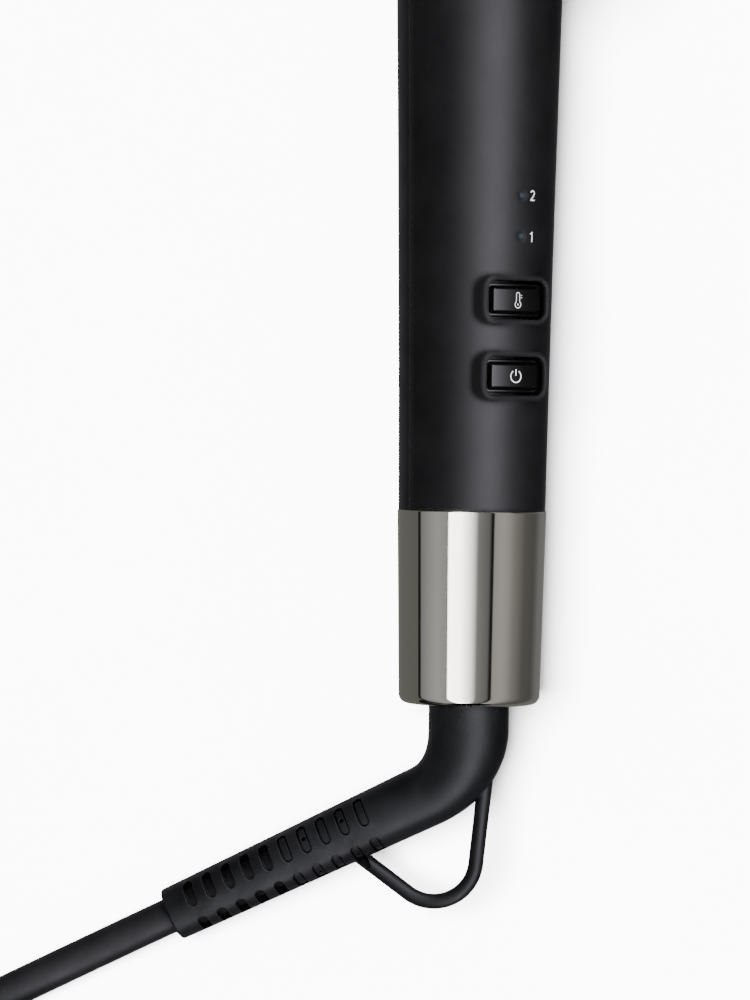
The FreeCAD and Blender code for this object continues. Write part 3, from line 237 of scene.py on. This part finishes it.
# ---- finishes ----
def moulded(name, dark, light, rough, grain_mm=0.25, depth_mm=0.006, coat=0.0, specular=0.5,
            round_mm=0.15, edge_highlight_strength=0.35):
    """Moulded plastic or rubber: fine grain, slow mottling, softened edges with a painted highlight, and painted
    shade in crevices.
    """
    n = Nodes(name)
    mottle = n.noise(9.0, detail=3.0)
    grain = n.noise(grain_mm, detail=5.0)
    speck = n.cells(grain_mm * 2.2)
    soft_edge = n.add("ShaderNodeBevel", samples=EDGE_SAMPLES)
    soft_edge.inputs["Radius"].default_value = round_mm * MM
    normal = n.bump(grain, depth_mm, soft_edge.outputs["Normal"])
    normal = n.bump(speck, depth_mm * 0.6, normal)
    body = n.mix(n.spread(mottle, 0, 1), dark, light)
    flatness = n.add("ShaderNodeVectorMath", operation="DOT_PRODUCT")
    n.link(soft_edge.outputs["Normal"], flatness.inputs[0])
    n.link(n.add("ShaderNodeNewGeometry").outputs["Normal"], flatness.inputs[1])
    # Painted highlight: where the softened normal turns away from the true one, at edges and rims, the colour is
    # lightened.
    edge_highlight_mask = n.spread(flatness.outputs["Value"], edge_highlight_strength, 0, 0.86, 0.995)
    wear_and_edge_highlight = n.mix(edge_highlight_mask, body, tuple(min(1.0, c * EDGE_HIGHLIGHT_LIGHTER) for c in light))
    # Painted shade: ambient occlusion darkens the colour in recesses and between parts.
    shade_occlusion = n.add("ShaderNodeAmbientOcclusion", samples=EDGE_SAMPLES)
    shade_occlusion.inputs["Distance"].default_value = PAINTED_SHADE_REACH
    painted_shade_fade = n.spread(shade_occlusion.outputs["AO"], 0, 1, 0.35, 0.95)
    return n.put(Base_Color=n.mix(painted_shade_fade, tuple(c * PAINTED_SHADE_DARKER for c in dark), wear_and_edge_highlight),
                 Roughness=n.spread(n.noise(6.0), *rough), Normal=normal,
                 Coat_Weight=coat, Coat_Roughness=0.08, Specular_IOR_Level=specular)


def metal(name, dark, light, rough, stretch=(1, 0.03, 1), line_mm=0.12, depth_mm=0.0006, coat=0.0):
    """Metal with fine lines along the piece, cloudy tone and a few smudges."""
    n = Nodes(name)
    lines = n.noise(line_mm, stretch, detail=3.0)
    cloud = n.noise(14.0, (1, 0.5, 1), detail=2.0)
    scratches = n.noise(line_mm * 5, stretch, detail=6.0)
    colour = n.mix(n.spread(cloud, 0, 1), dark, light)
    smudge = n.spread(n.noise(5.0), rough[0], rough[1])
    return n.put(Base_Color=colour, Metallic=1.0, Roughness=smudge,
                 Normal=n.bump(scratches, depth_mm, n.bump(lines, depth_mm * 0.5)), Coat_Weight=coat)


def gloss_key(name, dark, light):
    """Glossy key whose face is slightly domed across the handle, with polishing haze."""
    n = Nodes(name)
    source = n.add("ShaderNodeTexCoord")
    across = n.add("ShaderNodeVectorMath", operation="DOT_PRODUCT")
    across.inputs[1].default_value = ACROSS
    n.link(source.outputs["Object"], across.inputs[0])
    from_middle = n.add("ShaderNodeMath", operation="SUBTRACT")
    from_middle.inputs[1].default_value = TAIL.dot(ACROSS)
    n.link(across.outputs["Value"], from_middle.inputs[0])
    square = n.add("ShaderNodeMath", operation="MULTIPLY")
    n.link(from_middle.outputs[0], square.inputs[0])
    n.link(from_middle.outputs[0], square.inputs[1])
    fall = n.add("ShaderNodeMath", operation="DIVIDE")
    fall.inputs[1].default_value = -2 * DOME_RADIUS
    n.link(square.outputs[0], fall.inputs[0])
    dome = n.add("ShaderNodeBump")
    dome.inputs["Distance"].default_value = 1.0
    n.link(fall.outputs[0], dome.inputs["Height"])
    haze = n.bump(n.noise(0.5), 0.0008, dome.outputs["Normal"])
    return n.put(Base_Color=n.mix(n.spread(n.noise(3.0), 0, 1), dark, light), Normal=haze,
                 Roughness=n.spread(n.noise(2.0), 0.16, 0.22), Specular_IOR_Level=0.85)


def coated_barrel(name, dark, light, rough):
    """Ceramic coating on metal: a satin skin with tiny mineral flecks."""
    n = Nodes(name)
    fleck = n.spread(n.cells(0.28), 0.22, 0, 0.05, 0.16)
    body = n.mix(n.spread(n.noise(20.0), 0, 1), dark, light)
    colour = n.mix(fleck, body, (0.20, 0.18, 0.165))
    return n.put(Base_Color=colour, Metallic=0.6, Roughness=n.spread(n.noise(7.0), *rough), Coat_Weight=0.3,
                 Coat_Roughness=0.15, Normal=n.bump(n.noise(0.4), 0.0003))


def board(name):
    """Solder mask over copper tracks."""
    n = Nodes(name)
    tracks = n.add("ShaderNodeTexBrick")
    tracks.inputs["Scale"].default_value = 1 / (2.4 * MM)
    tracks.inputs["Mortar Size"].default_value = 0.05
    n.link(n.coords(), tracks.inputs["Vector"])
    mask = n.mix(n.spread(n.noise(3.0), 0, 1), (0.01, 0.09, 0.03), (0.015, 0.13, 0.045))
    colour = n.mix(tracks.outputs["Fac"], mask, (0.03, 0.22, 0.07))
    return n.put(Base_Color=colour, Roughness=n.spread(n.noise(1.5), 0.22, 0.4),
                 Normal=n.bump(tracks.outputs["Fac"], 0.03))


def woven(name, dark, light):
    """Strap webbing: two crossed sets of threads."""
    n = Nodes(name)
    threads = []
    for direction in ("X", "Z"):
        wave = n.add("ShaderNodeTexWave", wave_type="BANDS", bands_direction=direction)
        wave.inputs["Scale"].default_value = 1 / (2.6 * MM)
        wave.inputs["Distortion"].default_value = 1.2
        n.link(n.coords(), wave.inputs["Vector"])
        threads.append(wave.outputs["Fac"])
    over = n.bump(threads[1], 0.12, n.bump(threads[0], 0.12))
    fuzz = n.bump(n.noise(0.15), 0.03, over)
    return n.put(Base_Color=n.mix(threads[0], dark, light), Roughness=n.spread(n.noise(1.0), 0.75, 0.95),
                 Normal=fuzz, Sheen_Weight=0.4)


def clear(name, tint):
    """Light pipe: tinted clear plastic."""
    n = Nodes(name)
    haze = n.spread(n.noise(0.4), 0.08, 0.3)
    colour = n.mix(n.spread(n.noise(0.6), 0, 1), tint, tuple(min(1.0, c * 1.6) for c in tint))
    return n.put(Base_Color=colour, Roughness=haze, Transmission_Weight=0.35,
                 Normal=n.bump(n.noise(0.3), 0.003))


def printed(name, shade):
    """Pad-printed ink: a faintly uneven film."""
    n = Nodes(name)
    thin = tuple(c * 0.86 for c in shade)
    wear_and_edge_highlight = n.mix(n.spread(n.noise(0.3), 0, 1), thin, shade)
    return n.put(Base_Color=wear_and_edge_highlight, Roughness=n.spread(n.noise(0.2), 0.45, 0.65),
                 Normal=n.bump(n.noise(0.1), 0.002))


FINISHES = {
    "gunmetal": metal("polished_black_nickel", (0.53, 0.52, 0.50), (0.57, 0.56, 0.535), (0.035, 0.07)),
    "soft_black": moulded("soft_touch_black", (0.0095, 0.0095, 0.0105), (0.014, 0.014, 0.0155), (0.38, 0.45),
                          0.18, 0.003, round_mm=2.0, edge_highlight_strength=0.0),
    "guard_black": moulded("heatproof_black", (0.012, 0.012, 0.012), (0.02, 0.019, 0.018), (0.48, 0.6),
                           0.4, 0.012),
    "trim_metal": metal("turned_trim", (0.42, 0.40, 0.38), (0.5, 0.48, 0.455), (0.12, 0.2), (0.03, 1, 0.03)),
    "barrel_coat": coated_barrel("ceramic_barrel", (0.05, 0.046, 0.045), (0.075, 0.07, 0.066), (0.29, 0.33)),
    "clip_metal": coated_barrel("ceramic_clip", (0.065, 0.06, 0.057), (0.095, 0.088, 0.084), (0.26, 0.29)),
    "steel": metal("bright_steel", (0.5, 0.5, 0.5), (0.62, 0.62, 0.61), (0.18, 0.3)),
    "stand_steel": metal("pressed_steel", (0.4, 0.4, 0.4), (0.52, 0.52, 0.51), (0.26, 0.4),
                         (1, 0.05, 1), 0.3, 0.002),
    "heater_aluminium": metal("extruded_aluminium", (0.6, 0.61, 0.62), (0.72, 0.73, 0.74), (0.3, 0.45),
                              (1, 0.02, 1), 0.4),
    "tip_ceramic": moulded("pressed_ceramic", (0.62, 0.6, 0.55), (0.74, 0.72, 0.67), (0.55, 0.75), 0.5, 0.02),
    "ptc": moulded("heating_ceramic", (0.10, 0.095, 0.09), (0.16, 0.15, 0.14), (0.5, 0.7), 0.3, 0.015),
    "electrode": metal("rolled_electrode", (0.66, 0.62, 0.56), (0.76, 0.72, 0.66), (0.22, 0.35)),
    "film": moulded("amber_film", (0.42, 0.17, 0.02), (0.55, 0.24, 0.03), (0.15, 0.3), 1.2, 0.01, 0.4),
    "fuse": metal("fuse_case", (0.6, 0.58, 0.52), (0.7, 0.68, 0.62), (0.2, 0.35)),
    "bead": moulded("glass_bead", (0.25, 0.07, 0.03), (0.36, 0.11, 0.05), (0.08, 0.2), 0.5, 0.004, 0.6),
    "button_black": gloss_key("gloss_black", (0.005, 0.005, 0.0055), (0.008, 0.008, 0.0085)),
    "switch_black": moulded("switch_case", (0.02, 0.02, 0.022), (0.035, 0.035, 0.037), (0.4, 0.55)),
    "plunger_red": moulded("plunger", (0.42, 0.03, 0.02), (0.55, 0.05, 0.03), (0.3, 0.45)),
    "board_green": board("circuit_board"),
    "lamp": clear("lamp_lens", (0.5, 0.55, 0.6)),
    "light_pipe": clear("light_pipe", (0.06, 0.09, 0.15)),
    "capacitor": moulded("capacitor_case", (0.5, 0.36, 0.05), (0.6, 0.44, 0.08), (0.3, 0.45)),
    "terminal": moulded("terminal_green", (0.02, 0.2, 0.09), (0.03, 0.28, 0.12), (0.35, 0.5)),
    "wire": moulded("silicone_wire", (0.45, 0.43, 0.4), (0.58, 0.56, 0.52), (0.4, 0.6), 0.2, 0.01),
    "bearing": moulded("acetal", (0.6, 0.6, 0.58), (0.7, 0.7, 0.68), (0.3, 0.45), 0.3, 0.004),
    "carbon": moulded("carbon_brush", (0.02, 0.02, 0.02), (0.045, 0.045, 0.045), (0.45, 0.65), 0.2, 0.02),
    "relief_rubber": moulded("relief_rubber", (0.0085, 0.009, 0.010), (0.0185, 0.0195, 0.0225), (0.33, 0.44),
                             0.30, 0.016, specular=0.36, round_mm=0.3, edge_highlight_strength=0.8),
    "cord_black": moulded("cord_jacket", (0.009, 0.0095, 0.0105), (0.017, 0.0175, 0.020), (0.42, 0.56),
                          0.35, 0.018),
    "tie": woven("strap_webbing", (0.012, 0.012, 0.013), (0.035, 0.035, 0.038)),
    "plug": moulded("plug_rubber", (0.010, 0.010, 0.011), (0.017, 0.017, 0.018), (0.4, 0.52), 0.35, 0.012),
    "pins": metal("nickel_pins", (0.6, 0.58, 0.52), (0.7, 0.68, 0.62), (0.15, 0.28)),
}
INK = printed("white_ink", (0.28, 0.28, 0.28))

slot_of = {part["node"]: part["material_slot"] for part in frame["record"]["subparts"]}
for node, obj in frame["nodes"].items():
    obj.data.materials.clear()
    obj.data.materials.append(FINISHES[slot_of[node]])


# ---- camera and studio ----
def make_camera():
    data = bpy.data.cameras.new("camera")
    data.lens = LENS_MM
    data.sensor_fit = "AUTO"
    data.sensor_width = 36
    camera = bpy.data.objects.new("camera", data)
    camera.location = (CAMERA_X, TAIL.y + CAMERA_AHEAD, TAIL.z + CAMERA_HEIGHT)
    camera.rotation_euler = (0, 0, math.radians(CAMERA_TURN))
    bpy.context.scene.collection.objects.link(camera)
    bpy.context.scene.camera = camera


def floor_material():
    n = Nodes("pale_floor")
    shade = n.mix(n.spread(n.noise(60.0), 0, 1), (0.88, 0.88, 0.88), (0.90, 0.90, 0.90))
    return n.put(Base_Color=shade, Roughness=n.spread(n.noise(8.0), 0.8, 0.95), Specular_IOR_Level=0.1,
                 Normal=n.bump(n.noise(2.0), 0.01))


def make_floor():
    half = FLOOR_HALF
    floor = add_mesh("floor", [(-half, -half, 0), (half, -half, 0), (half, half, 0), (-half, half, 0)],
                     [(0, 1, 2, 3)], smooth=False)
    floor.data.materials.append(floor_material())
    floor.visible_glossy = False
    floor.visible_diffuse = False
    return floor


def make_world():
    world = bpy.data.worlds.new("studio")
    bpy.context.scene.world = world
    world.use_nodes = True
    background = world.node_tree.nodes["Background"]
    background.inputs["Color"].default_value = (1.0, 1.0, 1.0, 1)
    background.inputs["Strength"].default_value = WORLD_STRENGTH
    world.cycles_visibility.glossy = False


def light_tube(name, radius, stops, strength, receivers):
    """Tube of light round the iron that only reflections see, coloured by the angle from straight up."""
    half_length = 2.5
    sides = 180
    verts, faces = [], []
    for i in range(sides):
        a = 2 * math.pi * i / sides
        for y in (-half_length, half_length):
            verts.append((radius * math.sin(a), y, radius * math.cos(a)))
        j = (i + 1) % sides
        faces.append((2 * i, 2 * i + 1, 2 * j + 1, 2 * j))
    tube = add_mesh(name, verts, faces)
    tube.location = TAIL
    n = Nodes(name)
    n.tree.nodes.remove(n.shader)
    split = n.add("ShaderNodeSeparateXYZ")
    n.link(n.coords(), split.inputs[0])
    angle = n.add("ShaderNodeMath", operation="ARCTAN2")
    n.link(split.outputs["X"], angle.inputs[0])
    n.link(split.outputs["Z"], angle.inputs[1])
    ramp = n.add("ShaderNodeValToRGB")
    while len(ramp.color_ramp.elements) < len(stops):
        ramp.color_ramp.elements.new(0.5)
    for element, (surface_angle, brightness, tint) in zip(ramp.color_ramp.elements, stops):
        element.position = surface_angle / 180 + 0.5
        element.color = (*(brightness / BRIGHTEST * t for t in tint), 1)
    n.link(n.spread(angle.outputs[0], 0, 1, -math.pi, math.pi), ramp.inputs["Fac"])
    glow = n.add("ShaderNodeEmission")
    glow.inputs["Strength"].default_value = strength
    n.link(ramp.outputs["Color"], glow.inputs["Color"])
    both = n.add("ShaderNodeAddShader")
    n.link(glow.outputs[0], both.inputs[0])
    n.link(n.add("ShaderNodeBsdfTransparent").outputs[0], both.inputs[1])
    n.link(both.outputs[0], n.tree.nodes["Material Output"].inputs["Surface"])
    tube.data.materials.append(n.material)
    tube.visible_camera = False
    tube.visible_diffuse = False
    tube.visible_shadow = False
    tube.visible_transmission = False
    tube.light_linking.receiver_collection = receivers


def soft_sun(name, comes_from, spread, strength, receivers):
    """Wide even light from that direction, for these receivers only."""
    data = bpy.data.lights.new(name, "SUN")
    data.angle = math.radians(spread)
    data.energy = strength
    lamp = bpy.data.objects.new(name, data)
    lamp.rotation_euler = Vector(comes_from).to_track_quat("Z", "Y").to_euler()
    lamp.visible_glossy = False
    lamp.light_linking.receiver_collection = receivers
    bpy.context.scene.collection.objects.link(lamp)


# ---- printed marks ----
def surface_point(node, x_mm, y_mm):
    """The point of that node's outside above (x, y) of the iron's own frame, lifted a little."""
    start = iron(x_mm, y_mm, ABOVE_IRON_MM)
    hit, place, _, _ = frame["nodes"][node].ray_cast(start, -OUTWARD)
    assert hit, node
    return place + OUTWARD * (INK_LIFT_MM * MM)


class Print:
    """Ink on one node, gathered from strokes in the iron's own frame, in millimetres."""

    def __init__(self, node, x, y):
        self.node, self.x, self.y = node, x, y
        self.verts, self.faces = [], []

    def stroke(self, points, width):
        """Ribbon of that width through the points."""
        count = len(points)
        base = len(self.verts)
        for i, (px, py) in enumerate(points):
            before = points[max(i - 1, 0)]
            after = points[min(i + 1, count - 1)]
            along = Vector((after[0] - before[0], after[1] - before[1])).normalized()
            for side in (-0.5, 0.5):
                x, y = px - along.y * width * side, py + along.x * width * side
                self.verts.append(surface_point(self.node, self.x + x, self.y + y))
        for i in range(count - 1):
            a = base + 2 * i
            self.faces.append((a, a + 1, a + 3, a + 2))

    def arc(self, x, y, radius, width, start, stop, count=28):
        """Ribbon along a circle, angles in degrees anticlockwise from +x."""
        steps = [math.radians(start + (stop - start) * i / count) for i in range(count + 1)]
        self.stroke([(x + radius * math.cos(a), y + radius * math.sin(a)) for a in steps], width)

    def disc(self, x, y, radius):
        self.arc(x, y, radius / 2, radius, 0, 360, 20)

    def done(self, name, body, slot_name):
        obj = add_mesh(name, self.verts, self.faces, smooth=False)
        obj.data.materials.append(INK)
        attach(obj, body)
        white_pieces.objects.link(obj)


def power_mark(y):
    mark = Print("power_button", 0.38, y)
    mark.arc(0, -0.05, 1.26, 0.20, 124, 416, 40)
    mark.stroke([(0, 1.42), (0, 0.9), (0, 0.5), (0, 0.1)], 0.24)
    mark.done("power_mark", "power_key", "button_black")


def temperature_mark(y):
    """Thermometer: a bulb with a dot, a stem with a round top, and scale ticks beside it."""
    mark = Print("temperature_button", 0.45, y)
    bulb_y, bulb_r, stem_half, top_y = -0.92, 0.70, 0.40, 1.16
    lean = math.degrees(math.asin(stem_half / bulb_r))
    mark.arc(0, bulb_y, bulb_r, 0.14, 90 + lean, 450 - lean, 30)
    mark.disc(0, bulb_y, 0.16)
    shoulder = bulb_y + bulb_r * math.cos(math.radians(lean))
    for side in (-1, 1):
        mark.stroke([(side * stem_half, shoulder), (side * stem_half, top_y)], 0.13)
    mark.arc(0, top_y, stem_half, 0.13, 0, 180, 16)
    for i in range(2):
        mark.stroke([(0.68, 0.5 + 0.45 * i), (0.95, 0.5 + 0.45 * i)], 0.12)
    mark.done("temperature_mark", "temperature_key", "button_black")


def digit_marks(x, rows):
    """The two heat settings' numbers."""
    one = Print("upper_shell", x, rows[0])
    one.stroke([(0.1, -1.05), (0.1, -0.4), (0.1, 0.4), (0.1, 1.05)], 0.28)
    one.stroke([(0.12, 0.94), (-0.42, 0.52)], 0.22)
    one.done("digit_one", "iron", "soft_black")
    two = Print("upper_shell", x, rows[1])
    turns = [math.radians(165 - 12.5 * i) for i in range(17)]
    bowl = [(0.5 * math.cos(a), 0.5 + 0.5 * math.sin(a)) for a in turns]
    two.stroke(bowl + [(0.02, -0.35), (-0.48, -0.92)], 0.27)
    two.stroke([(-0.6, -0.94), (0.0, -0.94), (0.6, -0.94)], 0.25)
    two.done("digit_two", "iron", "soft_black")


# ---- cord and strap ----
def coil_place(turned):
    """Radius and height of the cord's middle after that many degrees, easing from place to place."""
    done = sum(1 for step in STEPS if turned >= step + STEP_LENGTH)
    radius, height = PLACES[done]
    if done < len(STEPS) and turned > STEPS[done]:
        t = (turned - STEPS[done]) / STEP_LENGTH
        ease = t * t * (3 - 2 * t)
        radius += (PLACES[done + 1][0] - radius) * ease
        height += (PLACES[done + 1][1] - height) * ease
    return radius, height


def coil_points():
    """Control points of the coil: far enough out that the smooth curve between them has the turn's radius."""
    count = round((COIL_STOP - COIL_START) / 360 * POINTS_PER_TURN)
    outward = 1 / math.cos(math.pi / POINTS_PER_TURN)
    points = []
    for i in range(1, count):
        turned = COIL_START + (COIL_STOP - COIL_START) * i / count
        radius, height = coil_place(turned)
        a = math.radians(turned)
        reach = radius * outward
        points.append(COIL_CENTRE + Vector((math.cos(a) * reach, math.sin(a) * reach, height)))
    return points


def make_cord():
    data = bpy.data.curves.new("mains_cord", "CURVE")
    data.dimensions = "3D"
    data.bevel_depth = CORD_D / 2
    data.bevel_resolution = 8
    data.resolution_u = 8
    data.use_fill_caps = True
    spline = data.splines.new("NURBS")
    route = [Vector(p) for p in LEAD] + coil_points() + [Vector(p) for p in TAIL_POINTS]
    spline.points.add(len(route) - 1)
    for point, place in zip(spline.points, route):
        point.co = (*place, 1)
    spline.order_u = 3
    spline.use_endpoint_u = True
    data.materials.append(FINISHES["cord_black"])
    cord = bpy.data.objects.new("mains_cord", data)
    bpy.context.scene.collection.objects.link(cord)
    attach(cord, "cord")
    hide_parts("cord_lead", "cord_coil", "cord_tail")
    return cord


def make_strap():
    """Webbing strap over the coil's bundle, with its loose end lapped on top."""
    low = INNER_TURN_R - CORD_D / 2 - STRAP_GAP
    high = OUTER_TURN_R + CORD_D / 2 + STRAP_GAP
    top = LAYER_Z[2] + CORD_D / 2 + 0.0005
    corner = STRAP_CORNER_R
    path = [(high, STRAP_FOOT_Z), (high, top - corner)]
    path += [(high - corner + corner * math.cos(a), top - corner + corner * math.sin(a))
             for a in (math.radians(15 * i) for i in range(1, 6))]
    path += [(high - corner - (high - low - 2 * corner) * i / 6, top) for i in range(7)]
    path += [(low + corner - corner * math.sin(a), top - corner + corner * math.cos(a))
             for a in (math.radians(15 * i) for i in range(1, 6))]
    path += [(low, top - corner), (low, STRAP_FOOT_Z)]
    lap = [(high - corner - 0.0005 - 0.0015 * i, top + STRAP_THICK * (1.1 if i else 0.9)) for i in range(6)]
    radial = Vector((math.cos(math.radians(TIE_ANGLE)), math.sin(math.radians(TIE_ANGLE)), 0))
    along = Vector((-radial.y, radial.x, 0))
    verts, faces = [], []
    for line in (path, lap):
        base = len(verts)
        for r, z in line:
            for i in range(7):
                edge = -1 + i / 3
                verts.append(COIL_CENTRE + radial * r + along * (STRAP_HALF_WIDTH * edge) + Vector((0, 0, z)))
        for i in range(len(line) - 1):
            for k in range(6):
                a = base + i * 7 + k
                faces.append((a, a + 1, a + 8, a + 7))
    strap = add_mesh("cord_strap", verts, faces)
    solid = strap.modifiers.new("thickness", "SOLIDIFY")
    solid.thickness = STRAP_THICK
    solid.offset = 0
    bevel = strap.modifiers.new("soft_edge", "BEVEL")
    bevel.width = STRAP_THICK * 0.35
    bevel.segments = 2
    strap.data.materials.append(FINISHES["tie"])
    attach(strap, "cord")
    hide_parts("cord_tie")
    return strap


make_camera()
make_world()
white_pieces = bpy.data.collections.new("white_pieces")
white_pieces.objects.link(make_floor())
soft_sun("white_light", SUN_FROM, SUN_SPREAD, SUN_STRENGTH, white_pieces)

cord = make_cord()
strap = make_strap()

power_mark(POWER_KEY_Y_MM)
temperature_mark(TEMPERATURE_KEY_Y_MM)
digit_marks(DIGITS_X_MM, DIGIT_ROWS_MM)

soft_pieces = bpy.data.collections.new("soft_pieces")
shiny_pieces = bpy.data.collections.new("shiny_pieces")
for node, obj in frame["nodes"].items():
    (soft_pieces if slot_of[node] in SOFT_SLOTS else shiny_pieces).objects.link(obj)
for obj in (cord, strap):
    soft_pieces.objects.link(obj)
light_tube("reflected_bands", BANDS_TUBE_R, BANDS, BRIGHTEST / METAL_REFLECTS, shiny_pieces)
light_tube("soft_highlight", SOFT_TUBE_R, SOFT_LIGHT, BRIGHTEST, soft_pieces)
